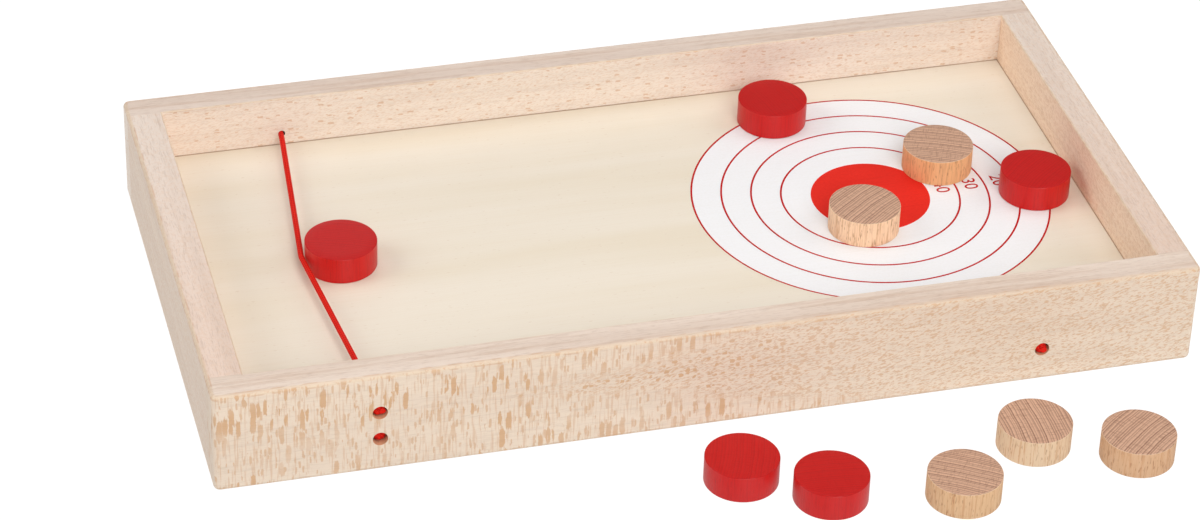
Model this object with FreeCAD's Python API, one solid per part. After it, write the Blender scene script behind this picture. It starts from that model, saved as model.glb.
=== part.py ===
import FreeCAD, Part
import math
import os

os.makedirs("parts", exist_ok=True)

# Reversible sling puck game: a beech tray with a thin board across its middle.
# The origin is at the middle of the tray's underside. +X runs along the tray
# towards the ring target, +Y away from the player's near side, and +Z up.
# Every size is in millimetres.

# Tray
tray_length = 400.0
tray_width = 214.0
tray_height = 45.0
long_rail_thickness = 13.0
short_rail_thickness = 14.5
corner_round = 2.6
outer_edge_round = 2.0
inner_edge_round = 0.8

# Play board and the groove that holds it
board_thickness = 2.5
board_surface_height = 22.3
board_groove_depth = 5.0
board_edge_play = 0.5
board_groove_play = 0.2

# Ring target printed on the board
target_middle_from_right_wall = 88.1
target_middle_off_centre = 2.2
target_ring_step = 12.5
target_centre_steps = 2
target_ring_count = 4
target_line_width = 0.8
white_ink_depth = 0.15
red_ink_depth = 0.05

# Loose tongues glued into the corner joints
tongue_thickness = 4.0
tongue_distance_from_rims = 6.0
tongue_depth_in_long_rail = 8.0
tongue_depth_in_short_rail = 10.0
tongue_glue_gap = 0.1

# Pucks
puck_diameter = 29.5
puck_height = 11.5

# Elastic cords, their holes and their knots
cord_diameter = 2.4
cord_hole_gap = 0.3
cord_puck_gap = 0.3
cord_mouth_bend = 4.0
cord_distance_from_end = 65.0
sling_draw = 9.4
upper_cord_above_board = 5.2
lower_cord_below_board = 4.8
knot_well_diameter = 6.0
knot_well_depth = 5.0
knot_side_gap = 0.35
knot_seat_overlap = 0.4
knot_sides = 8
knot_shoulder_share = 0.3
knot_crown_share = 0.65
upper_knot_recess = 1.3
left_lower_knot_recess = 2.0
right_lower_knot_recess = 0.3

# Divider on the underside, with the gate that pucks are shot through
divider_thickness = 10.0
divider_dado_depth = 3.0
divider_dado_gap = 0.15
divider_edge_round = 1.0
gate_side_play = 3.5
gate_top_play = 2.0
gate_corner_round = 4.0

# Places of the pucks: the one held by the drawn cord, those shot at the target, as
# x and y from the target's middle, and those on the table, as x from the tray's
# middle and the distance in front of the tray
sling_puck_off_centre = 2.1
red_pucks_at_target = [(-23.8, 65.4), (68.4, -11.0)]
natural_pucks_at_target = [(34.4, 15.9), (-9.8, -21.0)]
red_pucks_on_table = [(-0.3, 36.3), (30.3, 54.5)]
natural_pucks_on_table = [(80.7, 65.0), (118.2, 40.0), (155.6, 55.7)]

# What follows from the sizes above
field_half_length = tray_length / 2 - short_rail_thickness
field_half_width = tray_width / 2 - long_rail_thickness
board_underside_height = board_surface_height - board_thickness
target_x = field_half_length - target_middle_from_right_wall
target_y = target_middle_off_centre
target_rim_radius = target_ring_step * (target_centre_steps + target_ring_count)
target_ground_radius = target_rim_radius + target_line_width / 2
cord_x = tray_length / 2 - cord_distance_from_end
cord_hole_radius = cord_diameter / 2 + cord_hole_gap
upper_cord_height = board_surface_height + upper_cord_above_board
lower_cord_height = board_underside_height - lower_cord_below_board
knot_floor_y = tray_width / 2 - knot_well_depth
knot_radius = knot_well_diameter / 2 - knot_side_gap
cord_wrap_radius = puck_diameter / 2 + cord_diameter / 2 + cord_puck_gap
sling_puck_x = cord_wrap_radius - cord_x - sling_draw
gate_width = puck_diameter + 2 * gate_side_play
gate_height = puck_height + gate_top_play

ALONG_Y = FreeCAD.Vector(0, 1, 0)


def vec(x, y, z):
    return FreeCAD.Vector(x, y, z)


def block(low, high):
    """A box between two opposite corners."""
    size = high.sub(low)
    return Part.makeBox(size.x, size.y, size.z, low)


def edges_along(shape, test):
    """The shape's straight edges whose two ends both pass the test."""
    found = []
    for edge in shape.Edges:
        ends = [vertex.Point for vertex in edge.Vertexes]
        if len(ends) == 2 and all(test(point) for point in ends):
            found.append(edge)
    return found


def near(value, wanted):
    return abs(value - wanted) < 1e-4


def save(name, shape):
    """Writes one node and prints what it holds."""
    shape.exportStep(f"parts/{name}.step")
    solids = len(shape.Solids)
    print(f"{name}: {solids} solid(s), {shape.Volume / 1000:.2f} cm3, valid {shape.isValid()}")


def rounded_frame():
    """The four rails as one ring, sanded round after gluing as the real frame is."""
    outer = block(
        vec(-tray_length / 2, -tray_width / 2, 0),
        vec(tray_length / 2, tray_width / 2, tray_height),
    )
    field = block(
        vec(-field_half_length, -field_half_width, 0),
        vec(field_half_length, field_half_width, tray_height),
    )

    def is_upright(edge):
        return abs(edge.tangentAt(edge.FirstParameter).z) > 0.5

    outer = outer.makeFillet(corner_round, [e for e in outer.Edges if is_upright(e)])
    outer = outer.makeFillet(outer_edge_round, [e for e in outer.Edges if not is_upright(e)])
    ring = outer.cut(field)

    def is_on_mouth(edge):
        middle = edge.CenterOfMass
        inside = abs(middle.x) < field_half_length + 0.01 and abs(middle.y) < field_half_width + 0.01
        return inside and not is_upright(edge)

    return ring.makeFillet(inner_edge_round, [e for e in ring.Edges if is_on_mouth(e)])


def board_groove():
    reach_x = field_half_length + board_groove_depth
    reach_y = field_half_width + board_groove_depth
    return block(
        vec(-reach_x, -reach_y, board_underside_height),
        vec(reach_x, reach_y, board_surface_height + board_groove_play),
    )


def tongue(side_x, side_y, gap):
    """The loose tongue across one corner joint, or its slot with a gap all round."""
    groove_end = field_half_length + board_groove_depth
    middle = (groove_end + tray_length / 2) / 2
    xs = [middle - tongue_thickness / 2 - gap, middle + tongue_thickness / 2 + gap]
    ys = [
        field_half_width - tongue_depth_in_short_rail - gap,
        field_half_width + tongue_depth_in_long_rail + gap,
    ]
    xs = sorted(side_x * x for x in xs)
    ys = sorted(side_y * y for y in ys)
    low = tongue_distance_from_rims - gap
    return block(vec(xs[0], ys[0], low), vec(xs[1], ys[1], tray_height - low))


def tongues(gap):
    corners = [(side_x, side_y) for side_x in (-1, 1) for side_y in (-1, 1)]
    return Part.makeCompound([tongue(side_x, side_y, gap) for side_x, side_y in corners])


def cord_lines():
    """The x and height of every pair of cord holes."""
    return [
        (-cord_x, upper_cord_height),
        (-cord_x, lower_cord_height),
        (cord_x, lower_cord_height),
    ]


def cord_hole(x, z, side):
    """A bore through a long rail, with a well in its outer face for the knot."""
    bore = Part.makeCylinder(
        cord_hole_radius,
        long_rail_thickness,
        vec(x, side * field_half_width, z),
        ALONG_Y * side,
    )
    well = Part.makeCylinder(
        knot_well_diameter / 2,
        knot_well_depth,
        vec(x, side * knot_floor_y, z),
        ALONG_Y * side,
    )
    return bore.fuse(well)


def divider_dado(side):
    """The shallow groove across a long rail that takes one end of the divider."""
    half = divider_thickness / 2 + divider_dado_gap
    ends = sorted([side * field_half_width, side * (field_half_width + divider_dado_depth)])
    return block(vec(-half, ends[0], 0), vec(half, ends[1], board_underside_height))


def long_rail(frame, side):
    ends = sorted([side * field_half_width, side * tray_width / 2])
    rail = frame.common(
        block(
            vec(-tray_length / 2, ends[0], 0),
            vec(tray_length / 2, ends[1], tray_height),
        )
    )
    rail = rail.cut(board_groove())
    rail = rail.cut(divider_dado(side))
    rail = rail.cut(tongues(tongue_glue_gap))
    for x, z in cord_lines():
        rail = rail.cut(cord_hole(x, z, side))
    return rail


def short_rail(frame, side):
    ends = sorted([side * field_half_length, side * tray_length / 2])
    rail = frame.common(
        block(
            vec(ends[0], -field_half_width, 0),
            vec(ends[1], field_half_width, tray_height),
        )
    )
    return rail.cut(board_groove()).cut(tongues(tongue_glue_gap))


def play_board():
    reach_x = field_half_length + board_groove_depth - board_edge_play
    reach_y = field_half_width + board_groove_depth - board_edge_play
    board = block(
        vec(-reach_x, -reach_y, board_underside_height),
        vec(reach_x, reach_y, board_surface_height),
    )
    return board.cut(ink_disc(target_ground_radius, 0, white_ink_depth))


def ink_disc(radius, upper, lower):
    """A disc of ink between two depths below the board's surface."""
    low = vec(target_x, target_y, board_surface_height - lower)
    return Part.makeCylinder(radius, lower - upper, low)


def target_white():
    """The white ground of the target, let into the board."""
    return ink_disc(target_ground_radius, red_ink_depth, white_ink_depth)


def target_red():
    """The solid centre and the thin rings, at equal steps, over the white ground."""
    marks = [ink_disc(target_ring_step * target_centre_steps, 0, red_ink_depth)]
    for number in range(target_ring_count):
        radius = target_ring_step * (target_centre_steps + 1 + number)
        outside = ink_disc(radius + target_line_width / 2, 0, red_ink_depth)
        inside = ink_disc(radius - target_line_width / 2, 0, red_ink_depth)
        marks.append(outside.cut(inside))
    return Part.makeCompound(marks)


def divider():
    """The wall across the underside, with its gate cut up from the board."""
    reach = field_half_width + divider_dado_depth - divider_dado_gap
    half = divider_thickness / 2
    wall = block(vec(-half, -reach, 0), vec(half, reach, board_underside_height))
    gate = block(
        vec(-half, -gate_width / 2, board_underside_height - gate_height),
        vec(half, gate_width / 2, board_underside_height),
    )
    crown = board_underside_height - gate_height

    def at_crown(point):
        return near(point.z, crown)

    crown_corners = [
        edge
        for edge in edges_along(gate, at_crown)
        if near(abs(edge.CenterOfMass.y), gate_width / 2)
    ]
    wall = wall.cut(gate.makeFillet(gate_corner_round, crown_corners))

    def on_rim(point):
        return near(point.z, 0)

    rim = [edge for edge in edges_along(wall, on_rim) if near(abs(edge.CenterOfMass.x), half)]
    return wall.makeFillet(divider_edge_round, rim)


def at_target(places):
    return [(target_x + x, target_y + y, board_surface_height) for x, y in places]


def on_table(places):
    return [(x, -tray_width / 2 - away, 0) for x, away in places]


def puck(x, y, floor):
    """A slice of round stick, sawn square."""
    return Part.makeCylinder(puck_diameter / 2, puck_height, vec(x, y, floor))


def knot_ring(x, y, z, radius):
    """The corners of a knot's outline at one station along the cord."""
    turns = [2 * math.pi * number / knot_sides for number in range(knot_sides)]
    return [vec(x + radius * math.cos(turn), y, z + radius * math.sin(turn)) for turn in turns]


def flat_face(corners):
    return Part.Face(Part.makePolygon(corners + corners[:1]))


def knot(x, z, recess, side):
    """A cord's end knot: a flat seat over the bore, a bulging body and the cut end."""
    height = knot_well_depth - recess
    stations = [
        (0, cord_hole_radius + knot_seat_overlap),
        (knot_shoulder_share * height, knot_radius),
        (knot_crown_share * height, knot_radius),
        (height, cord_diameter / 2),
    ]
    rings = [knot_ring(x, side * (knot_floor_y + away), z, radius) for away, radius in stations]
    faces = [flat_face(rings[0]), flat_face(rings[-1])]
    for lower, upper in zip(rings, rings[1:]):
        for number in range(knot_sides):
            after = (number + 1) % knot_sides
            faces.append(flat_face([lower[number], lower[after], upper[after], upper[number]]))
    solid = Part.Solid(Part.Shell(faces))
    return solid if solid.Volume > 0 else solid.reversed()


def knots(x, z, recess):
    return Part.makeCompound([knot(x, z, recess, side) for side in (-1, 1)])


def tangent_point(start, centre, radius, side):
    """Where a line from start touches a circle, on the circle's -X side."""
    to_centre = centre.sub(start)
    distance = to_centre.Length
    spread = math.asin(radius / distance)
    heading = math.atan2(to_centre.y, to_centre.x) + side * spread
    reach = math.sqrt(distance**2 - radius**2)
    return start + vec(math.cos(heading), math.sin(heading), 0) * reach


def arc_through(start, middle, end):
    return Part.Arc(start, middle, end).toShape()


def mouth_bend(before, corner, after):
    """The small arc that eases the cord round the edge of its hole."""
    into = (corner - before).normalize()
    away = (after - corner).normalize()
    turn = into.getAngle(away)
    cut = cord_mouth_bend * math.tan(turn / 2)
    inward = (away - into).normalize()
    rise = cord_mouth_bend / math.cos(turn / 2) - cord_mouth_bend
    return corner - into * cut, corner + inward * rise, corner + away * cut


def sling_path():
    """The drawn cord from knot to knot, round the back of the puck that it holds."""
    z = upper_cord_height
    x = -cord_x
    ends = [vec(x, -knot_floor_y, z), vec(x, knot_floor_y, z)]
    mouths = [vec(x, -field_half_width, z), vec(x, field_half_width, z)]
    centre = vec(sling_puck_x, sling_puck_off_centre, z)
    touches = [
        tangent_point(mouths[0], centre, cord_wrap_radius, 1),
        tangent_point(mouths[1], centre, cord_wrap_radius, -1),
    ]
    back = centre - vec(cord_wrap_radius, 0, 0)
    front_bend = mouth_bend(ends[0], mouths[0], touches[0])
    rear_bend = mouth_bend(touches[1], mouths[1], ends[1])
    edges = [
        Part.LineSegment(ends[0], front_bend[0]).toShape(),
        arc_through(*front_bend),
        Part.LineSegment(front_bend[2], touches[0]).toShape(),
        arc_through(touches[0], back, touches[1]),
        Part.LineSegment(touches[1], rear_bend[0]).toShape(),
        arc_through(*rear_bend),
        Part.LineSegment(rear_bend[2], ends[1]).toShape(),
    ]
    return Part.Wire(edges)


def straight_path(x, z):
    start = vec(x, -knot_floor_y, z)
    end = vec(x, knot_floor_y, z)
    return Part.Wire([Part.LineSegment(start, end).toShape()])


def cord(path, name):
    """A round cord swept along its path."""
    start = path.Edges[0].valueAt(path.Edges[0].FirstParameter)
    section = Part.Wire([Part.makeCircle(cord_diameter / 2, start, ALONG_Y)])
    tube = path.makePipeShell([section], True, False)
    expected = math.pi * cord_diameter**2 / 4 * path.Length
    radii = [edge.Curve.Radius for edge in path.Edges if isinstance(edge.Curve, Part.Circle)]
    print(
        f"{name}: path {path.Length:.1f} mm, bend radii {[round(r, 1) for r in radii]}, "
        f"volume {tube.Volume:.1f} of {expected:.1f} mm3"
    )
    return tube


def main():
    frame = rounded_frame()
    save("front_rail", long_rail(frame, -1))
    save("back_rail", long_rail(frame, 1))
    save("left_rail", short_rail(frame, -1))
    save("right_rail", short_rail(frame, 1))
    save("corner_tongues", tongues(0))
    save("play_board", play_board())
    save("target_red", target_red())
    save("target_white", target_white())
    save("divider", divider())

    save("sling_cord", cord(sling_path(), "sling_cord"))
    save("lower_left_cord", cord(straight_path(-cord_x, lower_cord_height), "lower_left_cord"))
    save("lower_right_cord", cord(straight_path(cord_x, lower_cord_height), "lower_right_cord"))
    save("sling_cord_knots", knots(-cord_x, upper_cord_height, upper_knot_recess))
    save("lower_left_cord_knots", knots(-cord_x, lower_cord_height, left_lower_knot_recess))
    save("lower_right_cord_knots", knots(cord_x, lower_cord_height, right_lower_knot_recess))

    reds = [(sling_puck_x, sling_puck_off_centre, board_surface_height)]
    reds += at_target(red_pucks_at_target) + on_table(red_pucks_on_table)
    for number, (x, y, floor) in enumerate(reds, start=1):
        save(f"red_puck_{number}", puck(x, y, floor))
    naturals = at_target(natural_pucks_at_target) + on_table(natural_pucks_on_table)
    for number, (x, y, floor) in enumerate(naturals, start=1):
        save(f"natural_puck_{number}", puck(x, y, floor))


main()
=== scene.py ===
# %% [markdown]
# # A wooden sling puck game
#
# The real object is a reversible beech tray with a thin board across the middle of
# its height. Red elastic cords sling ten wooden pucks, five lacquered and five
# plain, at the ring target printed on the board.
#
# The rails, the board, the print and the divider come ready made from the
# construction. They could be modelled again here, but their shapes are right, so
# this lesson gives them their finishes and leaves their meshes alone. What is
# modelled here is what the construction keeps plain: the pucks with their eased
# edges, the braided cords, their knots and the numbers on the target.

# %% Load the construction
import math

import bmesh
import bpy
from mathutils import Matrix, Vector


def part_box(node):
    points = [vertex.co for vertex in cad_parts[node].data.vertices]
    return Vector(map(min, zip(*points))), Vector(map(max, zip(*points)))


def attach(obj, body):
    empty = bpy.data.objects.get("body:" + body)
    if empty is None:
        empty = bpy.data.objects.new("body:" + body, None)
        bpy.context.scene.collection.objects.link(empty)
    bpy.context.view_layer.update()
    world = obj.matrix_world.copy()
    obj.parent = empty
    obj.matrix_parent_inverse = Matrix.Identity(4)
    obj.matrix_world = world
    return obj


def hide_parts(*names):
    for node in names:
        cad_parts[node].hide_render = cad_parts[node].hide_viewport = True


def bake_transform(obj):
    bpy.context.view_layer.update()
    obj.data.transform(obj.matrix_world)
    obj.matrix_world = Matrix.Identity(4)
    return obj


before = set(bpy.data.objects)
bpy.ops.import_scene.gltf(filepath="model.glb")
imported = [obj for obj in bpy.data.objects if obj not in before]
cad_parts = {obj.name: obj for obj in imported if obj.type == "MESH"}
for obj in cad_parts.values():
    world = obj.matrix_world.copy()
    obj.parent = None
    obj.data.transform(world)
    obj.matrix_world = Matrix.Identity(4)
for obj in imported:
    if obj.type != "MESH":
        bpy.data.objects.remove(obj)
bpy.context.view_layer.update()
MM = 0.001

# %% [markdown]
# ## Where things are
#
# Everything is placed by what the construction already says, so that nothing has to
# be typed in twice. The far rail's inner and outer faces give the places where a cord
# leaves the wood, and the outermost red ring gives the target's middle.

# %% Read the main places from the frame
far_rail_low, far_rail_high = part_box("back_rail")
rings_low, rings_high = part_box("target_red")
wall_y = far_rail_low.y
end_wall_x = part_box("right_rail")[0].x
target_middle = (rings_low + rings_high) / 2
print("width of the field", round(2 * wall_y / MM), "mm")
print("target middle", [round(value / MM, 1) for value in target_middle])

# %% [markdown]
# ## The camera
#
# The photograph was taken from the near left, above the tray, through a long lens
# that keeps the rails almost parallel. A camera could be placed by its own
# coordinates, but an aim point, a distance and three angles say the same in a way
# that can be read and nudged, so the camera is built from those.

# %% Place the camera
camera_aim = Vector((-24.9, -18.5, 22.3)) * MM
camera_distance = 1618.5 * MM
camera_azimuth = math.radians(15.61)
camera_elevation = math.radians(34.77)
camera_roll = math.radians(1.82)
camera_lens_mm = 119.16

bpy.ops.object.select_all(action="DESELECT")
bpy.ops.object.camera_add()
camera = bpy.context.object
camera.name = "photo_camera"
camera.data.lens = camera_lens_mm
camera.data.clip_start = 50 * MM
look = Vector((
    math.sin(camera_azimuth) * math.cos(camera_elevation),
    math.cos(camera_azimuth) * math.cos(camera_elevation),
    -math.sin(camera_elevation),
))
camera.location = camera_aim - look * camera_distance
upright = look.to_track_quat("-Z", "Y").to_matrix()
camera.rotation_euler = (upright @ Matrix.Rotation(camera_roll, 3, "Z")).to_euler()
bpy.context.scene.camera = camera
print("camera at", [round(value, 3) for value in camera.location])

# %% [markdown]
# ## Light
#
# The photograph is a pack shot: soft light from all round, strongest from the
# front, and hardly any shadow. One bright world would do that too, but it would also
# lie as a grey veil on everything that shines. So the world stays dim, and five wide
# soft lamps do the work: a key in front, one overhead, a weaker one at each side and
# one behind. That one is low, because higher up the tops would mirror it into the camera.

# %% A helper that hangs a soft lamp
def soft_lamp(name, place, width, strength, tint):
    bpy.ops.object.light_add(type="AREA", location=place)
    lamp = bpy.context.object
    lamp.name = name
    lamp.data.shape = "DISK"
    lamp.data.size = width
    lamp.data.energy = strength
    lamp.data.color = tint
    lamp.rotation_euler = (-Vector(place)).to_track_quat("-Z", "Y").to_euler()
    print(name, "at", place, "with", strength, "W")
    return lamp


# %% Hang the lamps
soft_lamp("key_lamp", (0.08, -1.6, 1.3), 1.5, 26, (1.0, 0.995, 0.985))
soft_lamp("top_lamp", (0.1, 0.45, 1.95), 1.6, 10.2, (1.0, 1.0, 1.0))
soft_lamp("left_lamp", (-1.6, 0.2, 1.2), 1.3, 11.5, (1.0, 1.0, 1.0))
soft_lamp("right_lamp", (1.6, -0.2, 1.2), 1.3, 8, (1.0, 1.0, 1.0))
soft_lamp("back_lamp", (0.0, 1.9, 0.3), 1.2, 7, (1.0, 1.0, 1.0))
bpy.context.scene.view_settings.view_transform = "Standard"

# %% [markdown]
# ## Building materials from nodes
#
# A node tree written out line by line hides what it does, so a few small helpers
# carry the routine: starting a material, adding a node with its inputs, doing sums,
# and turning a smooth pattern into a mask or a change of colour. An effect that
# several materials share, such as grain or worn edges, is a node group that is built
# once and placed in each of them.

# %% Helpers that start a material and add nodes
def start_material(name, roughness, specular=0.5):
    material = bpy.data.materials.new(name)
    material.use_nodes = True
    tree = material.node_tree
    shader = tree.nodes["Principled BSDF"]
    shader.inputs["Roughness"].default_value = roughness
    shader.inputs["Specular IOR Level"].default_value = specular
    return material, tree, shader


def add_node(tree, kind, values=(), **settings):
    """A new node. The values are plain ones or sockets, by input name or number."""
    node = tree.nodes.new(kind)
    for key, value in settings.items():
        setattr(node, key, value)
    for key, value in dict(values).items():
        if isinstance(value, bpy.types.NodeSocket):
            tree.links.new(value, node.inputs[key])
        else:
            node.inputs[key].default_value = value
    return node


def math_node(tree, operation, *values, clamp=False):
    node = add_node(tree, "ShaderNodeMath", enumerate(values), operation=operation)
    node.use_clamp = clamp
    return node.outputs[0]


def times(tree, first, second):
    return math_node(tree, "MULTIPLY", first, second)


def minus(tree, first, second):
    return math_node(tree, "SUBTRACT", first, second)


def plus(tree, first, second):
    return math_node(tree, "ADD", first, second)


def axes(tree, place):
    """The three numbers of a place, by their names X, Y and Z."""
    return add_node(tree, "ShaderNodeSeparateXYZ", {0: place}).outputs


def vector(tree, *numbers):
    return add_node(tree, "ShaderNodeCombineXYZ", enumerate(numbers)).outputs[0]


# %% Helpers for patterns
def mask(tree, value, low, high):
    """0 below low, 1 above high, and a smooth step between them."""
    values = {"Value": value, "From Min": low, "From Max": high}
    node = add_node(tree, "ShaderNodeMapRange", values, interpolation_type="SMOOTHSTEP")
    return node.outputs["Result"]


def stretched(tree, place, stretch):
    """The place times a number along each axis: the smaller, the longer the pattern."""
    values = {0: place, 1: stretch}
    return add_node(tree, "ShaderNodeVectorMath", values, operation="MULTIPLY").outputs[0]


def noise(tree, place, stretch, detail=2.0, roughness=0.5):
    """Soft random blots, with so many per metre along each axis."""
    values = {"Vector": stretched(tree, place, stretch), "Scale": 1.0}
    values.update({"Detail": detail, "Roughness": roughness})
    return add_node(tree, "ShaderNodeTexNoise", values).outputs["Fac"]


def flecks(tree, place, stretch, largest, ragged):
    """Marks with straight sides, each as large as its own cell says, and with torn edges."""
    cells = {"Vector": stretched(tree, place, stretch), "Scale": 1.0, "Exponent": 4.0}
    cell = add_node(tree, "ShaderNodeTexVoronoi", cells, distance="MINKOWSKI")
    size = add_node(tree, "ShaderNodeSeparateColor", {0: cell.outputs["Color"]}).outputs["Red"]
    inside = minus(tree, times(tree, size, largest), cell.outputs["Distance"])
    torn = times(tree, minus(tree, ragged, 0.5), 0.45)
    return mask(tree, plus(tree, inside, torn), 0.0, 0.07)


def mixed(tree, amount, under, over):
    """The under number where amount is 0 and the over number where it is 1."""
    values = {0: amount, 2: under, 3: over}
    return add_node(tree, "ShaderNodeMix", values, data_type="FLOAT").outputs[0]


def tinted(tree, amount, under, over):
    """The under colour where amount is 0 and the over colour where it is 1."""
    colours = [value if isinstance(value, bpy.types.NodeSocket) else (*value, 1) for value in (under, over)]
    values = {0: amount, 6: colours[0], 7: colours[1]}
    return add_node(tree, "ShaderNodeMix", values, data_type="RGBA").outputs[2]


def bump(tree, shader, height, depth, strength=1.0):
    values = {"Height": height, "Distance": depth, "Strength": strength}
    normal = add_node(tree, "ShaderNodeBump", values).outputs["Normal"]
    tree.links.new(normal, shader.inputs["Normal"])


def srgb(red, green, blue):
    """A colour as it is seen on a screen, turned into amounts of light."""
    seen = (red, green, blue)
    return tuple(v / 12.92 if v < 0.04045 else ((v + 0.055) / 1.055) ** 2.4 for v in seen)


# %% Helpers for effects that several materials share
def start_group(name, takes, gives):
    """A node group with named inputs and outputs, and the sockets its inputs come by."""
    group = bpy.data.node_groups.new(name, "ShaderNodeTree")
    for socket, kind in takes.items():
        group.interface.new_socket(socket, in_out="INPUT", socket_type=f"NodeSocket{kind}")
    for socket in gives:
        group.interface.new_socket(socket, in_out="OUTPUT", socket_type="NodeSocketFloat")
    return group, group.nodes.new("NodeGroupInput").outputs


def finish_group(group, values):
    """Hands each value to the output of its name."""
    goes_out = group.nodes.new("NodeGroupOutput")
    for name, value in values.items():
        group.links.new(value, goes_out.inputs[name])
    print(group.name, "gives", ", ".join(values))
    return group


def shared(tree, group, **takes):
    """Places a group in a material. What comes back are its outputs."""
    return add_node(tree, "ShaderNodeGroup", takes, node_tree=group).outputs


# %% [markdown]
# ## The world and the floor
#
# The object stands on pure white. More light would turn a grey floor white, but it
# would bleach the wood too. So to the camera the floor is mostly its own light, at
# the strength that is plain white, and a small part of it is a real surface, which
# keeps a faint shadow under each piece. To the wood, and to anyone who looks up from
# below, the floor isn't there. The light that a pale floor would throw up comes from
# the world's lower half instead, so that the underside can be seen as well.

# %% The world
sky_light = 0.22
floor_bounce = 0.86
horizon_softness = 0.02

world = bpy.data.worlds.new("studio")
bpy.context.scene.world = world
world.use_nodes = True
tree = world.node_tree
direction = add_node(tree, "ShaderNodeTexCoord").outputs["Generated"]
climb = axes(tree, direction)["Z"]
below = mask(tree, climb, horizon_softness, -horizon_softness)
light = mixed(tree, below, sky_light, floor_bounce)
rays = add_node(tree, "ShaderNodeLightPath")
light = mixed(tree, rays.outputs["Is Camera Ray"], light, 1.0)
background = tree.nodes["Background"]
background.inputs["Color"].default_value = (1.0, 1.0, 1.0, 1)
tree.links.new(light, background.inputs["Strength"])
print("world", sky_light, "from above and", floor_bounce, "from below")

# %% The floor
floor_width = 12
floor_gap = 0.1 * MM
floor_grey = (0.78, 0.78, 0.78, 1)
floor_glow = 1.10
floor_own_light = 0.88

bpy.ops.object.select_all(action="DESELECT")
bpy.ops.mesh.primitive_plane_add(size=floor_width, location=(0, 0, -floor_gap))
floor = bpy.context.object
floor.name = "floor"
floor_material, tree, floor_shader = start_material("white_floor", roughness=0.9, specular=0.1)
floor_shader.inputs["Base Color"].default_value = floor_grey
glow = add_node(tree, "ShaderNodeEmission", {"Color": (1, 1, 1, 1), "Strength": floor_glow})
white = {0: floor_own_light, 1: floor_shader.outputs[0], 2: glow.outputs[0]}
white = add_node(tree, "ShaderNodeMixShader", white).outputs[0]
rays = add_node(tree, "ShaderNodeLightPath")
facing = minus(tree, 1.0, add_node(tree, "ShaderNodeNewGeometry").outputs["Backfacing"])
seen = times(tree, rays.outputs["Is Camera Ray"], facing)
clear = add_node(tree, "ShaderNodeBsdfTransparent").outputs[0]
shown = add_node(tree, "ShaderNodeMixShader", {0: seen, 1: clear, 2: white})
tree.links.new(shown.outputs[0], tree.nodes["Material Output"].inputs["Surface"])
floor.data.materials.append(floor_material)
print("floor", floor.dimensions.x, "m wide")

# %% [markdown]
# ## Beech
#
# Beech is pale and even, and what makes it beech is its rays: thin ribbons that run
# outwards from the heart. A face cut along them shows upright orange bars with thin
# streaks between them, a face cut across them shows short dashes along the grain, and
# a clear face shows a few soft lenses. Between them lie fine fibre lines and tiny
# pores. A photograph of wood would be quick, but it would run wrong round every edge,
# so the figure is a solid one, worked out from the place inside the wood. Rails,
# divider and tongues all use it, so it is one group. It puts out masks only, which
# each material then colours in its own way.

# %% The beech figure as a node group
def beech_figure():
    """Masks of the wood's figure. X of the place runs along the grain."""
    marks = ("Bars", "Dashes", "Blots", "Lenses", "Fibres", "Pores", "Bands")
    group, comes_in = start_group("beech_figure", {"Place": "Vector"}, marks)
    place = comes_in["Place"]

    def uneven(scale, reach, start=place):
        """The place, pushed about a little so that no mark is quite straight."""
        push = add_node(group, "ShaderNodeTexNoise", {"Vector": place, "Scale": scale, "Detail": 1.0})
        values = {0: push.outputs["Color"], 1: reach, 2: start}
        return add_node(group, "ShaderNodeVectorMath", values, operation="MULTIPLY_ADD").outputs[0]

    bent = uneven(420.0, (0.0006, 0.0006, 0.0016))
    crowded = mask(group, noise(group, place, (28, 28, 45)), 0.32, 0.62)
    upright = noise(group, bent, (1700, 1700, 170), 2.0)
    streaks = mask(group, noise(group, place, (1250, 1250, 95), 2.0), 0.50, 0.66)
    large = flecks(group, bent, (370, 240, 90), 0.48, upright)
    small = flecks(group, bent, (680, 400, 190), 0.42, upright)
    large = times(group, large, mixed(group, crowded, 0.3, 1.0))
    bars = math_node(group, "MAXIMUM", large, times(group, small, 0.7))
    bars = math_node(group, "MAXIMUM", bars, times(group, streaks, 0.5))

    parts = axes(group, place)
    climb = minus(group, parts["Z"], times(group, parts["X"], 0.2))
    tilted = vector(group, parts["X"], parts["Y"], climb)
    rolling = uneven(13.0, (0.0, 0.0, 0.012), tilted)
    dashes = mask(group, noise(group, rolling, (620, 800, 2300), 1.5), 0.52, 0.60)
    rough = noise(group, place, (900, 1500, 1900), 2.0)
    blots = flecks(group, uneven(420.0, (0.0010, 0.0006, 0.0010)), (340, 300, 430), 0.42, rough)
    lenses = flecks(group, uneven(420.0, (0.0012, 0.0006, 0.0008)), (230, 260, 640), 0.32, rough)

    fibres = noise(group, place, (16, 460, 460), 4.0, 0.62)
    pores = mask(group, noise(group, place, (250, 2900, 2900), 1.0), 0.54, 0.68)
    bands = noise(group, place, (5, 90, 70))

    return finish_group(group, dict(zip(marks, (bars, dashes, blots, lenses, fibres, pores, bands))))


beech = beech_figure()
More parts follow.
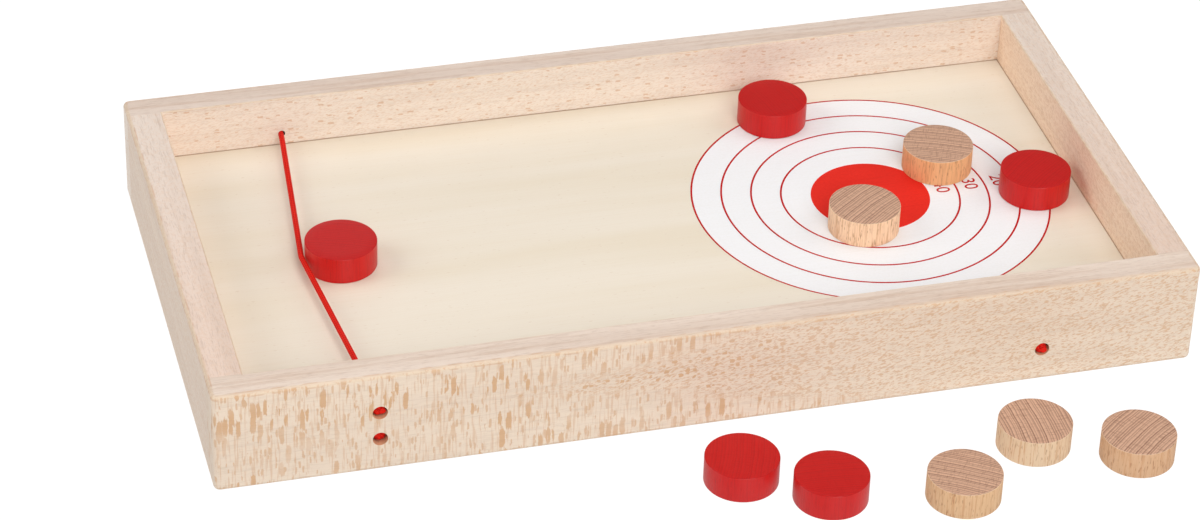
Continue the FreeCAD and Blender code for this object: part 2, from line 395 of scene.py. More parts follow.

# %% [markdown]
# ## The rails
#
# The photograph shows a different tone on each cut: the tops are greyish pink, the
# faces warm cream, and the sanded round edges carry a thin broken orange line. The
# direction that a face looks in tells the cuts apart, so one material can finish a
# whole rail. On the near rail the bars fill the left half, and dashes take over from
# the middle to the right, which is how a board looks whose rings turn over along its
# length. The far rail's inner face is a clear one. The tops' tone drifts a little from near to far. Deep in
# a knot's well the wall is painted darker and redder, which is painted shade with a painted reflection of
# the red knot, and inside a bore the wood is painted dark, a painted shade, because no light gets there.
# The worn line is on every beech piece, so it is a group.

# %% Worn edges as a node group
def worn_edges():
    """Broken thin lines where a rounded edge begins and ends."""
    takes = {"Place": "Vector", "Edge": "Float"}
    group, comes_in = start_group("worn_edges", takes, ("Line",))
    edge = comes_in["Edge"]
    begins = times(group, mask(group, edge, 0.003, 0.02), mask(group, edge, 0.12, 0.05))
    broken = mask(group, noise(group, comes_in["Place"], (150, 150, 150)), 0.48, 0.60)
    return finish_group(group, {"Line": times(group, begins, broken)})


wear = worn_edges()


# %% Helpers that tell places on the rails apart
def face_masks(tree):
    """The place, how far a face looks up or down, and how far it is a rounded edge."""
    where = add_node(tree, "ShaderNodeTexCoord")
    upward = math_node(tree, "ABSOLUTE", axes(tree, where.outputs["Normal"])["Z"])
    level = math_node(tree, "SUBTRACT", 1.0, times(tree, upward, upward), clamp=True)
    flattest = math_node(tree, "MAXIMUM", upward, math_node(tree, "SQRT", level))
    return where.outputs["Object"], mask(tree, upward, 0.55, 0.9), minus(tree, 1.0, flattest)


def along_grain(tree, place, order):
    """The place with its axes put in the order: along the grain, across it, up."""
    parts = axes(tree, place)
    return vector(tree, *(parts[axis] for axis in order))


def far_side(tree, place):
    return mask(tree, axes(tree, place)["Y"], 0.0, 20 * MM)


def nearness(tree, place):
    """0 at the near rail and 1 at the far one, with a slow change between them."""
    return mask(tree, axes(tree, place)["Y"], -100 * MM, 100 * MM)


def inside_ends(tree, place):
    """1 on the short rails' inner faces, and 0 on their outer ones."""
    out = math_node(tree, "ABSOLUTE", axes(tree, place)["X"])
    return mask(tree, out, end_wall_x + 1 * MM, end_wall_x + 0.5 * MM)


figure_height = 27 * MM
turn_begins_x = -70 * MM
turn_ends_x = 0.0
turn_slant = 6.0
turn_wander = 80 * MM


def turning_figure(tree, place, figure):
    """Bars on the near rail's left, dashes on its right, and lenses on the far rail."""
    parts = axes(tree, place)
    drift = times(tree, noise(tree, place, (22, 22, 22)), turn_wander)
    off_middle = minus(tree, parts["Z"], figure_height)
    slanted = times(tree, math_node(tree, "ABSOLUTE", off_middle), turn_slant)
    along = minus(tree, parts["X"], slanted)
    turned = mask(tree, plus(tree, along, drift), turn_begins_x, turn_ends_x)
    blots = times(tree, figure["Blots"], mask(tree, parts["X"], 120 * MM, -20 * MM))
    dashes = times(tree, figure["Dashes"], 0.74)
    across = math_node(tree, "MAXIMUM", dashes, blots)
    near = mixed(tree, turned, figure["Bars"], across)
    clear = math_node(tree, "MAXIMUM", times(tree, figure["Lenses"], 0.7), times(tree, dashes, 0.38))
    return mixed(tree, far_side(tree, place), near, clear)


def plain_figure(tree, place, figure):
    blots = times(tree, figure["Blots"], 0.3)
    return math_node(tree, "MAXIMUM", times(tree, figure["Dashes"], 0.4), blots)


# %% A helper that finds the drilled wood
cord_nodes = ["sling_cord", "lower_left_cord", "lower_right_cord"]
well_reach = 3.02 * MM
skin = 0.05 * MM
bore_darkest_y = wall_y + 3 * MM
bore_dark_until_y = wall_y + 7 * MM


def hole_centres():
    """The middles of the three pairs of knot wells, seen along the cords."""
    boxes = [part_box(f"{node}_knots") for node in cord_nodes]
    return [((low.x + high.x) / 2, 0, (low.z + high.z) / 2) for low, high in boxes]


def drilled(tree, place, colour):
    """How far a place is drilled wood, the colour without it, and the colour of it."""
    parts = axes(tree, place)
    along_cord = vector(tree, parts["X"], 0.0, parts["Z"])
    inside = 0.0
    for centre in hole_centres():
        away = add_node(tree, "ShaderNodeVectorMath", {0: along_cord, 1: centre}, operation="DISTANCE")
        within = math_node(tree, "LESS_THAN", away.outputs["Value"], well_reach)
        inside = math_node(tree, "MAXIMUM", inside, within)
    depth = math_node(tree, "ABSOLUTE", parts["Y"])
    inside = times(tree, inside, math_node(tree, "GREATER_THAN", depth, wall_y + skin))
    # Deeper in a knot's well the wall is painted darker and redder: painted shade, with a painted
    # reflection of the red knot.
    deep = mask(tree, depth, far_rail_high.y - 1 * MM, far_rail_high.y - 4 * MM)
    wood = tinted(tree, deep, drilled_brown, painted_well_shade_and_reflection)
    # Further in, the bore is painted near black: painted shade where no light gets.
    bored = mask(tree, depth, bore_dark_until_y, bore_darkest_y)
    return inside, colour, tinted(tree, bored, wood, bore_dark)


# %% A helper for beech pieces
rail_face = srgb(0.935, 0.86, 0.78)
clear_face = srgb(0.97, 0.915, 0.862)
rail_tops = (srgb(0.895, 0.825, 0.768), srgb(0.87, 0.798, 0.745))
round_edge_tone_and_shade = srgb(0.885, 0.795, 0.69)
worn_line = srgb(0.80, 0.61, 0.46)
ray_orange = srgb(0.845, 0.67, 0.505)
fibre_brown = srgb(0.77, 0.67, 0.60)
top_fibre = srgb(0.785, 0.665, 0.575)
pore_brown = srgb(0.66, 0.53, 0.45)
drilled_brown = srgb(0.90, 0.71, 0.56)
painted_well_shade_and_reflection = srgb(0.70, 0.42, 0.33)
bore_dark = srgb(0.22, 0.12, 0.09)


def beech_material(
    name, order, rays, inner, face=rail_face, tops=rail_tops, top_lines=0.45, top_rays=0.05
):
    """Sanded beech. Rays picks its marks, inner is (where, colour), tops are (near, far)."""
    material, tree, shader = start_material(name, roughness=0.6, specular=0.3)
    place, upward, edge = face_masks(tree)
    figure = shared(tree, beech, Place=along_grain(tree, place, order))
    worn = shared(tree, wear, Place=place, Edge=edge)["Line"]
    paler, pale_colour = inner
    top = tinted(tree, nearness(tree, place), *tops)
    colour = tinted(tree, upward, tinted(tree, paler(tree, place), face, pale_colour), top)
    # The rounded edges are tinted darker and warmer: partly the warmer tone of sanded round wood, partly
    # painted shade against the extra light that the roundings catch.
    colour = tinted(tree, times(tree, mask(tree, edge, 0.01, 0.08), 0.7), colour, round_edge_tone_and_shade)
    band = mask(tree, figure["Bands"], 0.35, 0.7)
    colour = tinted(tree, times(tree, band, mixed(tree, upward, 0.12, 0.3)), colour, fibre_brown)
    fibre = mask(tree, figure["Fibres"], 0.46, 0.66)
    line = times(tree, fibre, mixed(tree, upward, 0.12, top_lines))
    colour = tinted(tree, line, colour, tinted(tree, upward, fibre_brown, top_fibre))
    colour = tinted(tree, times(tree, worn, 0.45), colour, worn_line)
    shown = mixed(tree, upward, 0.9, top_rays)
    colour = tinted(tree, times(tree, rays(tree, place, figure), shown), colour, ray_orange)
    pores = times(tree, figure["Pores"], mixed(tree, upward, 0.12, 0.24))
    colour = tinted(tree, pores, colour, pore_brown)
    if order[0] == "X":
        colour = tinted(tree, *drilled(tree, place, colour))
    tree.links.new(colour, shader.inputs["Base Color"])
    rough = add_node(tree, "ShaderNodeMapRange", {"Value": fibre, "To Min": 0.52, "To Max": 0.66})
    tree.links.new(rough.outputs["Result"], shader.inputs["Roughness"])
    relief = plus(tree, fibre, times(tree, figure["Pores"], 1.5))
    bump(tree, shader, times(tree, relief, -1.0), 0.00005, 0.6)
    return material


def dress(material, *nodes):
    for node in nodes:
        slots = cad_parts[node].data.materials
        slots.clear()
        slots.append(material)
    print(material.name, "on", ", ".join(nodes))


# %% Finish the rails, the divider and the tongues
short_tops = (srgb(0.90, 0.807, 0.747), srgb(0.895, 0.832, 0.783))
short_face = srgb(0.93, 0.855, 0.785)
clear_sides = (far_side, clear_face)
# The short rails' inner faces are painted lighter and warmer than their outer faces: partly a warmer tone
# of the wood, partly painted light that the board throws up onto them.
warm_lit_inner_faces = (inside_ends, srgb(0.995, 0.895, 0.80))
long_rail = beech_material("beech_long_rail", "XYZ", turning_figure, clear_sides)
short_looks = (short_face, short_tops, 0.2, 0.4)
short_rail = beech_material("beech_short_rail", "YXZ", plain_figure, warm_lit_inner_faces, *short_looks)
dress(long_rail, "front_rail", "back_rail")
dress(short_rail, "left_rail", "right_rail")
dress(beech_material("beech_divider", "YXZ", plain_figure, warm_lit_inner_faces), "divider")
dress(beech_material("beech_tongue", "ZXY", plain_figure, warm_lit_inner_faces), "corner_tongues")

# %% [markdown]
# ## Board and print
#
# The board is thin poplar plywood, paler and duller than the rails, with a faint straight grain along its
# length and broad soft bands. The target is screen printed: a white ground that lets a trace of the grain
# through, and red ink over it. The solid centre is one bright flood of ink, while the thin rings and the
# numbers come out darker, because little ink goes through a narrow slot of the screen. The grain is the
# same solid pattern in board and ink, so it runs on under the print. Where the board enters the rails'
# groove, a thin dark line of painted shade stands for the shadow in the gap.

# %% The grain of the board as a node group
def board_grain():
    """Fine straight lines along the board, and broad soft bands."""
    group, comes_in = start_group("board_grain", {"Place": "Vector"}, ("Fine", "Broad"))
    fine = noise(group, comes_in["Place"], (26, 1300, 1), 3.0, 0.6)
    broad = noise(group, comes_in["Place"], (3.5, 42, 1))
    fine = mask(group, fine, 0.42, 0.75)
    return finish_group(group, {"Fine": fine, "Broad": mask(group, broad, 0.35, 0.72)})


grain_of_board = board_grain()

# %% Finish the board
gap_shade_begins = -0.55 * MM
gap_shade_ends = -0.3 * MM


def painted_gap_shade(tree, place):
    """1 on the rim of the board that meets the rails, where the shade in the gap is painted."""
    parts = axes(tree, place)
    outwards = []
    for axis, wall in (("X", end_wall_x), ("Y", wall_y)):
        off_middle = math_node(tree, "ABSOLUTE", parts[axis])
        outwards.append(minus(tree, off_middle, wall))
    return mask(tree, math_node(tree, "MAXIMUM", *outwards), gap_shade_begins, gap_shade_ends)


def board_material():
    material, tree, shader = start_material("plywood_board", roughness=0.55, specular=0.2)
    place = add_node(tree, "ShaderNodeTexCoord").outputs["Object"]
    grain = shared(tree, grain_of_board, Place=place)
    fine = grain["Fine"]
    broad = times(tree, grain["Broad"], 0.7)
    colour = tinted(tree, broad, srgb(0.912, 0.87, 0.808), srgb(0.888, 0.835, 0.748))
    colour = tinted(tree, times(tree, fine, 0.14), colour, srgb(0.87, 0.79, 0.68))
    specks = mask(tree, noise(tree, place, (420, 1700, 1), 0.0), 0.77, 0.83)
    colour = tinted(tree, times(tree, specks, 0.25), colour, srgb(0.74, 0.60, 0.45))
    # Painted shade: a thin dark line along the gap between board and rails.
    colour = tinted(tree, times(tree, painted_gap_shade(tree, place), 0.6), colour, srgb(0.66, 0.46, 0.29))
    tree.links.new(colour, shader.inputs["Base Color"])
    bump(tree, shader, times(tree, fine, -1.0), 0.00003, 0.5)
    return material


dress(board_material(), "play_board")


# %% Finish the print
ring_step = 12.5 * MM
solid_centre = 2.3 * ring_step


def ink_material(name, ink, worn, outer_ink):
    """Printed ink, which turns to the outer colour beyond the solid centre."""
    material, tree, shader = start_material(name, roughness=0.6, specular=0.12)
    place = add_node(tree, "ShaderNodeTexCoord").outputs["Object"]
    fine = shared(tree, grain_of_board, Place=place)["Fine"]
    away = add_node(tree, "ShaderNodeVectorMath", {0: place, 1: target_middle}, operation="DISTANCE")
    outer = math_node(tree, "GREATER_THAN", away.outputs["Value"], solid_centre)
    mottle = mask(tree, noise(tree, place, (900, 900, 900)), 0.4, 0.7)
    shows = times(tree, plus(tree, fine, mottle), 0.35)
    colour = tinted(tree, shows, tinted(tree, outer, ink, outer_ink), worn)
    tree.links.new(colour, shader.inputs["Base Color"])
    bump(tree, shader, times(tree, fine, -1.0), 0.00002, 0.4)
    return material


bright_red = srgb(0.885, 0.165, 0.115)
line_red = srgb(0.70, 0.03, 0.05)
red_ink = ink_material("print_red", bright_red, srgb(0.83, 0.14, 0.10), line_red)
white = srgb(0.935, 0.93, 0.935)
white_ink = ink_material("print_white", white, srgb(0.915, 0.905, 0.90), white)
dress(white_ink, "target_white")
dress(red_ink, "target_red")

# %% [markdown]
# ## The numbers on the target
#
# Each band of the target is worth a score, printed in its middle on the side away
# from the player, with the figures' tops outwards. Blender's text tool makes such
# figures with their real counters and curves. Drawing them as outlines would take
# longer and look less even. Each number becomes a mesh before it is put in its place,
# as thick as the ink.

# %% Print the numbers
number_height = 5.9 * MM
number_off_middle = 0.5 * MM
ink_thickness = rings_high.z - rings_low.z
scores = ["40", "30", "20", "10"]
first_band_middle = 2.5
stroke_weight = 0.002


def printed_number(text, distance):
    bpy.ops.object.select_all(action="DESELECT")
    bpy.ops.object.text_add()
    figure = bpy.context.object
    figure.data.body = text
    figure.data.align_x = "CENTER"
    figure.data.align_y = "CENTER"
    figure.data.extrude = 0.5
    figure.data.offset = stroke_weight
    figure.data.resolution_u = 6
    bpy.ops.object.convert(target="MESH")
    figure = bpy.context.object
    figure.name = f"score_{text}"
    heights = [vertex.co.y for vertex in figure.data.vertices]
    size = number_height / (max(heights) - min(heights))
    place = Vector((target_middle.x + distance, target_middle.y + number_off_middle, target_middle.z))
    turned = Matrix.Rotation(math.radians(-90), 4, "Z")
    sized = Matrix.Diagonal((size, size, ink_thickness, 1))
    figure.data.transform(Matrix.Translation(place) @ turned @ sized)
    figure.data.materials.clear()
    figure.data.materials.append(red_ink)
    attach(figure, "tray")
    print(figure.name, len(figure.data.polygons), "faces")


for band, text in enumerate(scores):
    printed_number(text, (first_band_middle + band) * ring_step)

# %% [markdown]
# ## The pucks
#
# A puck is a slice of round beech stick. The plain ones are sawn and lightly sanded,
# so their edges are almost sharp. The red ones are dipped in lacquer, which pulls back
# from the edges and rounds them. Each kind is modelled once, from a cylinder whose
# rims are beveled and whose ends are inset into rings, and then copied. Every copy
# carries its own grain direction in an attribute, so that no two look alike and the
# grain slides with the puck.

# %% Model one puck of each kind
puck_low, puck_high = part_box("natural_puck_1")
puck_radius = (puck_high.x - puck_low.x) / 2
puck_height = puck_high.z - puck_low.z
puck_sides = 128
cap_rings = 3


def model_puck(name, rim_round, rim_steps):
    bpy.ops.object.select_all(action="DESELECT")
    bpy.ops.mesh.primitive_cylinder_add(vertices=puck_sides, radius=puck_radius, depth=puck_height)
    puck = bpy.context.object
    puck.name = name
    bpy.ops.object.mode_set(mode="EDIT")
    bpy.ops.mesh.select_mode(type="EDGE")
    bpy.ops.mesh.select_all(action="DESELECT")
    mesh = bmesh.from_edit_mesh(puck.data)
    for edge in mesh.edges:
        edge.select_set(abs(edge.verts[0].co.z - edge.verts[1].co.z) < puck_height / 2)
    bmesh.update_edit_mesh(puck.data)
    bpy.ops.mesh.bevel(offset=rim_round, segments=rim_steps, profile=0.5)
    bpy.ops.mesh.select_mode(type="FACE")
    bpy.ops.mesh.select_all(action="DESELECT")
    mesh = bmesh.from_edit_mesh(puck.data)
    for face in mesh.faces:
        face.select_set(len(face.verts) == puck_sides)
    bmesh.update_edit_mesh(puck.data)
    for ring in range(cap_rings):
        bpy.ops.mesh.inset(thickness=(puck_radius - rim_round) / (cap_rings + 1))
    bpy.ops.mesh.poke()
    bpy.ops.object.mode_set(mode="OBJECT")
    bpy.ops.object.shade_smooth_by_angle(angle=math.radians(35))
    print(name, "faces", len(puck.data.polygons), "rim", round(rim_round / MM, 2), "mm")
    return puck


lacquered = model_puck("lacquered_pattern", 0.35 * MM, 4)
sawn = model_puck("sawn_pattern", 0.2 * MM, 3)

# %% [markdown]
# ## Finishes of the pucks
#
# The end of a stick shows its yearly rings as nearly straight dark lines, crossed by
# finer rays, and its side shows upright fibres and a few dark pores. The rings come
# from the distance to a heart that lies far outside the stick, so that they bend a
# little, and good and bad years put them closer or further apart. On the red pucks
# the end grain drinks the lacquer and looks darker and duller, and the fibres still
# show as faint upright lines on the side.

# %% The figure of a puck as a node group
ring_spacing = 1.15 * MM
ring_waver = 0.9 * MM
heart_distance = 130 * MM
good_and_bad_years = 2.4


def puck_figure():
    """Ring lines and rays for the ends, and fibres and pores for the side."""
    marks = ("Rings", "Rays", "Fibres", "Pores")
    tree, comes_in = start_group("puck_figure", {"Place": "Vector"}, marks)
    place = comes_in["Place"]
    parts = axes(tree, place)
    outward = plus(tree, parts["Y"], heart_distance)
    flat = vector(tree, parts["X"], outward)
    away = add_node(tree, "ShaderNodeVectorMath", {0: flat}, operation="LENGTH").outputs["Value"]
    waver = times(tree, noise(tree, place, (110, 110, 110)), ring_waver)
    distance = plus(tree, away, waver)
    line = vector(tree, distance)
    seasons = noise(tree, line, (330, 1, 1), 1.0)
    years = math_node(tree, "DIVIDE", distance, ring_spacing)
    years = plus(tree, years, times(tree, seasons, good_and_bad_years))
    late_wood = math_node(tree, "POWER", math_node(tree, "FRACT", years), 1.5)
    strength = mask(tree, noise(tree, line, (700, 1, 1), 0.0), 0.3, 0.65)
    rings = times(tree, late_wood, mixed(tree, strength, 0.45, 1.0))
    rays = mask(tree, noise(tree, place, (1500, 260, 1), 2.0), 0.5, 0.72)
    fibres = mask(tree, noise(tree, place, (1500, 1500, 70), 3.0, 0.6), 0.46, 0.66)
    pores = mask(tree, noise(tree, place, (1700, 1700, 300), 1.0), 0.60, 0.68)
    return finish_group(tree, dict(zip(marks, (rings, rays, fibres, pores))))


stick_figure = puck_figure()


def puck_material(name, end, end_ring, side_fibre, pore, rim, strength, side_gloss, end_gloss):
    """A puck's finish. Each gloss is a roughness and a strength of the sheen."""
    material, tree, shader = start_material(name, roughness=0.5)
    upward, edge = face_masks(tree)[1:]
    grain = add_node(tree, "ShaderNodeAttribute", attribute_name="grain").outputs["Vector"]
    figure = shared(tree, stick_figure, Place=grain)
    rings, rays, fibres, pores = (figure[mark] for mark in ("Rings", "Rays", "Fibres", "Pores"))
    stick = add_node(tree, "ShaderNodeAttribute", attribute_name="stick_colour").outputs["Color"]
    ends = tinted(tree, times(tree, rings, strength), end, end_ring)
    ends = tinted(tree, times(tree, rays, 0.35 * strength), ends, end_ring)
    sides = tinted(tree, times(tree, fibres, 0.65 * strength), stick, side_fibre)
    sides = tinted(tree, times(tree, pores, 0.5 * strength), sides, pore)
    colour = tinted(tree, upward, sides, ends)
    # The rim colour is painted light: a painted highlight along the plain pucks' rims and a painted shade
    # along the red pucks' rims.
    colour = tinted(tree, times(tree, mask(tree, edge, 0.01, 0.2), 0.7), colour, rim)
    tree.links.new(colour, shader.inputs["Base Color"])
    end_relief = plus(tree, rings, times(tree, rays, 0.5))
    side_relief = plus(tree, times(tree, fibres, 0.6), pores)
    relief = mixed(tree, upward, side_relief, end_relief)
    bump(tree, shader, times(tree, relief, -1.0), 0.00005, 0.5)
    sockets = ("Roughness", "Specular IOR Level")
    for socket, on_side, on_end in zip(sockets, side_gloss, end_gloss):
        tree.links.new(mixed(tree, upward, on_side, on_end), shader.inputs[socket])
    turned = minus(tree, 1.0, upward)
    tree.links.new(turned, shader.inputs["Anisotropic"])
    tree.links.new(vector(tree, 0.0, 0.0, 1.0), shader.inputs["Tangent"])
    return material


# %% Finish the two kinds of puck
natural_beech = puck_material(
    "puck_natural_beech",
    end=srgb(0.83, 0.665, 0.56),
    end_ring=srgb(0.45, 0.30, 0.23),
    side_fibre=srgb(0.79, 0.57, 0.40),
    pore=srgb(0.62, 0.40, 0.26),
    # A painted highlight along the rim.
    rim=srgb(0.93, 0.82, 0.70),
    strength=0.95,
    side_gloss=(0.6, 0.3),
    end_gloss=(0.65, 0.25),
)
red_lacquer = puck_material(
    "puck_red_paint",
    end=srgb(0.75, 0.08, 0.073),
    end_ring=srgb(0.60, 0.035, 0.045),
    side_fibre=srgb(0.67, 0.035, 0.035),
    pore=srgb(0.64, 0.045, 0.045),
    # A painted shade along the rim.
    rim=srgb(0.68, 0.05, 0.05),
    strength=0.5,
    side_gloss=(0.3, 0.38),
    end_gloss=(0.45, 0.2),
)

# %% [markdown]
# ## Ten pucks in their places
#
# A copy takes its mesh from the pattern and is moved to where its solid stands. The
# grain is written before the move, in the puck's own frame, turned so that its rings
# run the way they do in the photograph, and shifted so that each puck is cut from
# another piece of stick. A second attribute carries the colour of that stick, or of
# the lacquer on it.

# %% Copy the pucks
lacquer = srgb(0.80, 0.075, 0.065)
sticks = {
    "red_puck_1": (20, lacquer),
    "red_puck_2": (75, lacquer),
    "red_puck_3": (-40, lacquer),
    "red_puck_4": (110, lacquer),
    "red_puck_5": (5, lacquer),
    "natural_puck_1": (23, srgb(0.93, 0.71, 0.51)),
    "natural_puck_2": (-37, srgb(0.985, 0.835, 0.70)),
    "natural_puck_3": (32, srgb(0.88, 0.725, 0.565)),
    "natural_puck_4": (91, srgb(0.90, 0.785, 0.655)),
    "natural_puck_5": (-38, srgb(0.86, 0.695, 0.55)),
}
shift_across = 2.3 * MM
shift_up = 137 * MM


def place_puck(node, pattern, material, number):
    low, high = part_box(node)
    puck = pattern.copy()
    puck.data = pattern.data.copy()
    puck.name = f"turned_{node}"
    bpy.context.scene.collection.objects.link(puck)
    grain_turn, colour = sticks[node]
    turn = Matrix.Rotation(math.radians(grain_turn), 3, "Z")
    shift = Vector((0, number * shift_across, number * shift_up))
    puck.data.attributes.new("grain", "FLOAT_VECTOR", "POINT")
    puck.data.attributes.new("stick_colour", "FLOAT_COLOR", "POINT")
    grain = puck.data.attributes["grain"].data
    stick_colour = puck.data.attributes["stick_colour"].data
    for vertex in puck.data.vertices:
        grain[vertex.index].vector = turn @ vertex.co + shift
        stick_colour[vertex.index].color = (*colour, 1)
    puck.data.transform(Matrix.Translation((low + high) / 2))
    puck.data.materials.append(material)
    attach(puck, node)
    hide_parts(node)
    return puck


for number in range(1, 6):
    red = place_puck(f"red_puck_{number}", lacquered, red_lacquer, number)
    plain = place_puck(f"natural_puck_{number}", sawn, natural_beech, number + 5)
for pattern in (lacquered, sawn):
    bpy.data.objects.remove(pattern)

# %% [markdown]
# ## Elastic cord
#
# The slings are round elastic: rubber threads in a tight jacket of braided polyester.
# A smooth tube would do from across the room, but the jacket's small diamonds are what tells elastic from
# wire. So a cord's line is a smooth spline through a few given points, and its surface is a tube round that
# line whose skin rises and falls in the pattern. The tube's UV map runs once round and then on along the
# length in millimetres, so that the finish follows the cord as well.

# %% A smooth line through a few points
def smooth_line(points):
    """Points along a NURBS spline that has these points as its control points."""
    curve = bpy.data.curves.new("route", "CURVE")
    curve.dimensions = "3D"
    spline = curve.splines.new("NURBS")
    spline.points.add(len(points) - 1)
    for control, point in zip(spline.points, points):
        control.co = (*point, 1)
    spline.order_u = 3
    spline.use_endpoint_u = True
    spline.resolution_u = 24
    route = bpy.data.objects.new("route", curve)
    mesh = bpy.data.meshes.new_from_object(route)
    line = [vertex.co.copy() for vertex in mesh.vertices]
    bpy.data.objects.remove(route)
    bpy.data.curves.remove(curve)
    bpy.data.meshes.remove(mesh)
    return line


def stations_on(line, step):
    """Places one step apart along the line, each with its distance from the start."""
    lengths = [(after - before).length for before, after in zip(line, line[1:])]
    total = sum(lengths)
    count = max(2, round(total / step))
    stations = []
    part = 0
    passed = 0.0
    for number in range(count + 1):
        goal = total * number / count
        while part < len(lengths) - 1 and passed + lengths[part] < goal:
            passed += lengths[part]
            part += 1
        share = min((goal - passed) / lengths[part], 1.0)
        stations.append((line[part].lerp(line[part + 1], share), goal))
    return stations


# %% A braided tube round a line
cord_low, cord_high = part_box("lower_left_cord")
cord_radius = (cord_high.z - cord_low.z) / 2
braid_strands = 8
braid_length = 2.6 * MM
braid_relief = 0.045 * MM
tube_sides = 32
cord_step = 0.3 * MM
knot_step = 0.18 * MM


def diamonds_at(turn, way):
    """How far the jacket stands out, from -1 to 1, at a turn and a distance along it."""
    around = braid_strands / 2 * turn
    twist = 2 * math.pi * way / braid_length
    return math.cos(around + twist) * math.cos(around - twist)


def ring_places(stations, radius):
    """One ring of points round the line at each station, carried on without a twist."""
    across = None
    rings = []
    for number, (point, way) in enumerate(stations):
        before = stations[max(number - 1, 0)][0]
        after = stations[min(number + 1, len(stations) - 1)][0]
        heading = (after - before).normalized()
        across = across or heading.orthogonal().normalized()
        across = (across - heading * across.dot(heading)).normalized()
        beside = heading.cross(across)
        ring = []
        for side in range(tube_sides):
            turn = 2 * math.pi * side / tube_sides
            reach = radius - braid_relief * (1 - diamonds_at(turn, way))
            spoke = across * math.cos(turn) + beside * math.sin(turn)
            ring.append(point + spoke * reach)
        rings.append(ring)
    return rings


def skin_tube(name, stations, places):
    """A closed tube through rings of places. The caps' rims are sharp, so no cut shows."""
    mesh = bmesh.new()
    uv = mesh.loops.layers.uv.new("along_cord")
    rings = [[mesh.verts.new(place) for place in ring] for ring in places]
    for number, (lower, upper) in enumerate(zip(rings, rings[1:])):
        ways = [stations[number][1] / MM, stations[number + 1][1] / MM]
        for side in range(tube_sides):
            other = (side + 1) % tube_sides
            face = mesh.faces.new((lower[side], lower[other], upper[other], upper[side]))
            face.smooth = True
            corners = [(side, ways[0]), (side + 1, ways[0]), (side + 1, ways[1]), (side, ways[1])]
            for loop, (around, way) in zip(face.loops, corners):
                loop[uv].uv = (around / tube_sides, way)
    for rim in (tuple(reversed(rings[0])), tuple(rings[-1])):
        for edge in mesh.faces.new(rim).edges:
            edge.smooth = False
    data = bpy.data.meshes.new(name)
    mesh.to_mesh(data)
    mesh.free()
    tube = bpy.data.objects.new(name, data)
    bpy.context.scene.collection.objects.link(tube)
    return tube


def braided_tube(name, line, radius, step):
    """A closed tube along the line, with the braid's relief."""
    stations = stations_on(line, step)
    return skin_tube(name, stations, ring_places(stations, radius))


# %% Finish of the elastic
def elastic_material():
    material, tree, shader = start_material("elastic_cord_red", roughness=0.6, specular=0.12)
    shader.inputs["Sheen Weight"].default_value = 0.02
    shader.inputs["Sheen Roughness"].default_value = 0.4
    uv = add_node(tree, "ShaderNodeUVMap", uv_map="along_cord").outputs[0]
    parts = axes(tree, uv)
    turn = times(tree, parts["X"], math.pi * braid_strands)
    twist = times(tree, parts["Y"], 2 * math.pi * MM / braid_length)
    one_way = math_node(tree, "COSINE", plus(tree, turn, twist))
    other_way = math_node(tree, "COSINE", minus(tree, turn, twist))
    diamonds = mask(tree, times(tree, one_way, other_way), -0.9, 0.6)
    place = add_node(tree, "ShaderNodeTexCoord").outputs["Object"]
    lint = mask(tree, noise(tree, place, (2600, 2600, 2600)), 0.45, 0.75)
    colour = tinted(tree, diamonds, srgb(0.70, 0.065, 0.035), srgb(0.87, 0.115, 0.055))
    colour = tinted(tree, times(tree, lint, 0.2), colour, srgb(0.92, 0.20, 0.13))
    tree.links.new(colour, shader.inputs["Base Color"])
    bump(tree, shader, plus(tree, diamonds, lint), 0.00004, 0.5)
    return material


elastic = elastic_material()

# %% [markdown]
# ## The slings
#
# Each sling runs from a knot in the near rail, through its bores and across the field,
# to a knot in the far rail. The upper one is drawn back behind a puck: from each hole
# it runs straight to the puck's back, bends round it over a few millimetres and goes
# on. The lower two lie straight. When a sling is drawn, its middle moves and its ends
# stay. One blend from rail to middle would suit cloth, but it eases in and out and so
# bends a taut cord into an S. So each half is cut into seven parts, and each part
# blends over its own stretch, chosen so that both its ends get exactly the share of
# the motion that a straight cord has there. The eased steps then add up to a nearly
# straight run, off by less than a tenth of the cord's thickness.

# %% Lay the cords
sling_low, sling_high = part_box("sling_cord")
knot_seat_y = sling_high.y
hole_side_gap = 0.2 * MM
run_to_mouth = 15 * MM
run_to_puck = 3 * MM
held_half = 4 * MM
cut_shares = (0.024, 0.1, 0.242, 0.758, 0.9, 0.976)


def drawn_line(side):
    """Half of the upper sling, from its knot to the back of the puck that it holds."""
    low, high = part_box("red_puck_1")
    puck_y = (low.y + high.y) / 2
    height = (sling_low.z + sling_high.z) / 2
    hole_x = sling_high.x - cord_radius
    back_x = sling_low.x + cord_radius
    seat = Vector((hole_x, side * knot_seat_y, height))
    mouth = Vector((hole_x - hole_side_gap, side * wall_y, height))
    wrap = (low.x + high.x) / 2 - back_x
    lean = math.atan2(mouth.x - back_x, abs(mouth.y - puck_y))
    corner = Vector((back_x, puck_y + side * wrap * math.tan(lean / 2), height))
    run = (mouth - corner).normalized()
    middle = Vector((back_x, puck_y, height))
    return [seat, mouth, mouth - run * run_to_mouth, corner + run * run_to_puck, corner, middle]


def straight_line(node, side):
    low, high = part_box(node)
    x = (low.x + high.x) / 2
    z = (low.z + high.z) / 2
    return [Vector((x, side * knot_seat_y, z)), Vector((x, side * wall_y, z)), Vector((x, 0, z))]


def side_name(side):
    return "far" if side > 0 else "near"


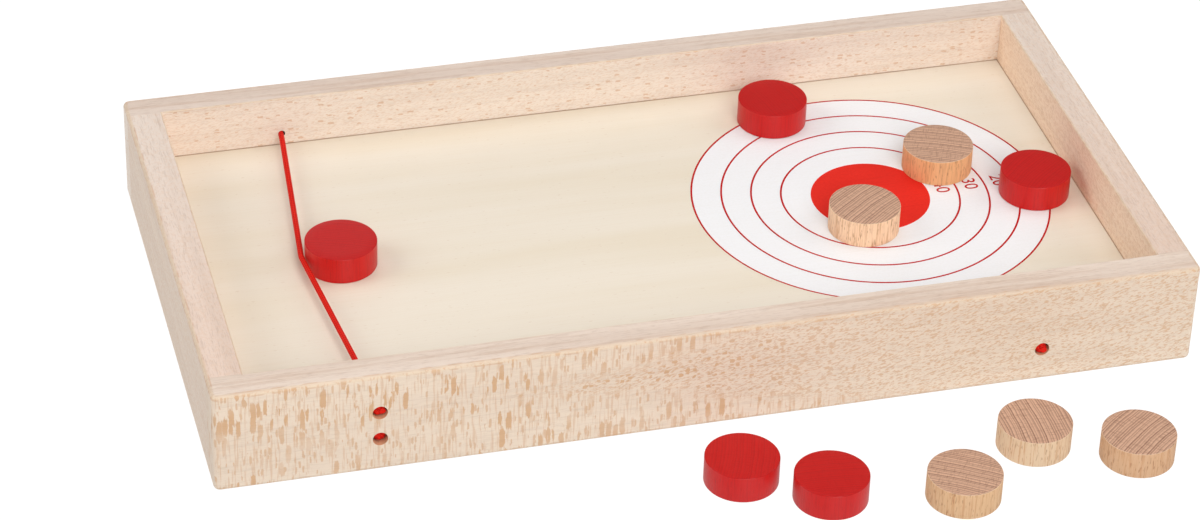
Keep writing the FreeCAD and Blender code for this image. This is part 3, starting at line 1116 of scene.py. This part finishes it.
def lay_half(node, route, side):
    """Half a cord, in parts whose blends add up to an even run from hole to middle."""
    middle = route[-1]
    still_y = side * wall_y
    reach = middle.y + side * held_half - still_y
    stations = stations_on(smooth_line(route), cord_step)
    rings = ring_places(stations, cord_radius)
    shares = [min(max((point.y - still_y) / reach, 0.0), 1.0) for point, way in stations]
    ends = [0]
    for goal in cut_shares:
        ends.append(next(number for number, share in enumerate(shares) if share >= goal))
    ends.append(len(stations) - 1)
    for number, (first, last) in enumerate(zip(ends, ends[1:]), 1):
        name = f"{node}_{side_name(side)}_part_{number}"
        part = skin_tube(name, stations[first:last + 1], rings[first:last + 1])
        part.data.materials.append(elastic)
        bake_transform(part)
        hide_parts(node)
    print(node, side_name(side), "half in", len(ends) - 1, "parts")


for side in (-1, 1):
    lay_half("sling_cord", drawn_line(side), side)
    lay_half("lower_left_cord", straight_line("lower_left_cord", side), side)
    lay_half("lower_right_cord", straight_line("lower_right_cord", side), side)

# %% [markdown]
# ## The knots
#
# A knot at each end keeps the cord from slipping through its bore. It is an overhand
# knot pulled tight, so its line is the trefoil that every overhand knot is, opened at
# one side: the cord comes up out of the bore, goes twice round, and its cut end turns
# out towards the mouth of the well. The jacket is squeezed there, so the tube is
# thinner. No two knots are tied alike, so each is turned by its own amount, which
# puts its cut end where the photograph shows the most red.

# %% Tie the knots
knotted_radius = 1.3 * MM
knot_ring = 1.25 * MM
knot_swing = 0.28 * MM
knot_rise = 0.5 * MM
knot_points = 30
knot_open_from = 0.03
knot_open_to = 0.90
tail_in_bore = 1.0 * MM
seat_clearance = 0.1 * MM
knot_turns = {"sling_cord": 62, "lower_left_cord": 205, "lower_right_cord": 32}


def knot_line(x, z, side, height, start_turn):
    """The knot's line from inside the bore to its cut end near the well's mouth."""
    rise = min((height - 2 * knotted_radius) / 2, knot_rise)
    middle = height - knotted_radius - rise
    seat = side * knot_seat_y
    line = [Vector((x, seat - side * tail_in_bore, z)), Vector((x, seat + side * seat_clearance, z))]
    for number in range(knot_points + 1):
        share = knot_open_from + (knot_open_to - knot_open_from) * number / knot_points
        turn = 2 * math.pi * share
        reach = knot_ring + knot_swing * math.cos(3 * turn)
        depth = middle - rise * math.cos(3 * turn + math.pi / 2)
        way = 2 * turn + start_turn
        line.append(Vector((x + reach * math.cos(way), seat + side * depth, z + reach * math.sin(way))))
    end = Vector((line[-1].x, seat + side * height, line[-1].z))
    return line + [end]


def tie_knots(node):
    low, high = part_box(f"{node}_knots")
    x = (low.x + high.x) / 2
    z = (low.z + high.z) / 2
    start_turn = math.radians(knot_turns[node])
    for side in (-1, 1):
        route = knot_line(x, z, side, high.y - knot_seat_y, start_turn)
        name = f"{node}_knots_{side_name(side)}_tied"
        knot = braided_tube(name, smooth_line(route), knotted_radius, knot_step)
        knot.data.materials.append(elastic)
        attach(knot, "tray")
        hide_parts(f"{node}_knots")
        print(knot.name, len(knot.data.polygons), "faces")


for node in cord_nodes:
    tie_knots(node)
